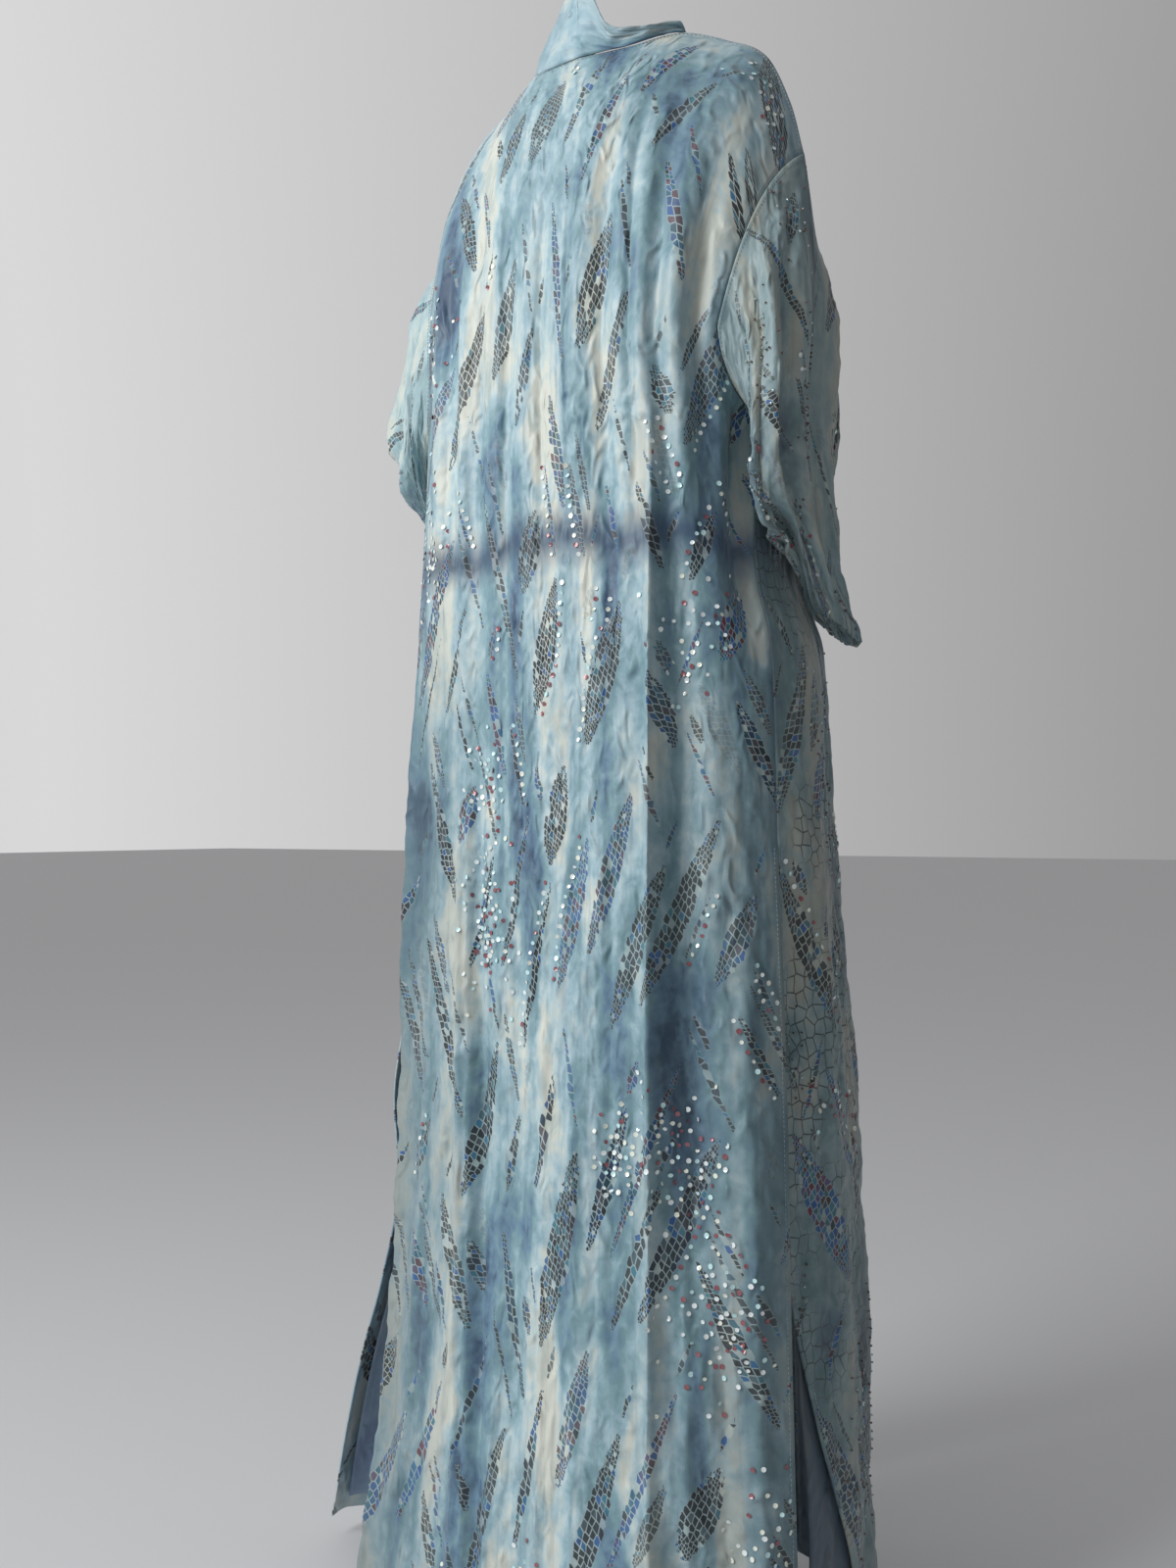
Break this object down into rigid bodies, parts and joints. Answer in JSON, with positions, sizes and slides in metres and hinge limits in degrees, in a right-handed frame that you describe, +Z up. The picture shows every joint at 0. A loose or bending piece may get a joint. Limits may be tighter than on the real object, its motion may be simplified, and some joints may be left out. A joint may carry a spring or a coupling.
{
  "type": "kimono",
  "caption": "Floor-length open kimono robe in printed silk, worn and hollow, with wide sleeves, a collar band and open side slits.",
  "frame": {"origin": "base of the neck, midway between the shoulders that hold the robe up", "axes": "+Z up, +Y to the wearer's back, +X to the wearer's left"},
  "size_m": [0.5657, 0.3557, 1.5362],
  "materials": {
    "printed_silk": "soft silk sheen, streaked pale blue and grey with a pebble-scale print",
    "lining_silk": "plain lavender-blue silk",
    "band_silk": "soft silk sheen, streaked blue"
  },
  "bodies": {
    "root": {"back_panel": "printed_silk", "front_left": "printed_silk", "front_right": "printed_silk", "front_lining_left": "lining_silk", "front_lining_right": "lining_silk", "sleeve_left": "printed_silk", "sleeve_right": "printed_silk", "collar_band": "band_silk"}
  },
  "joints": []
}
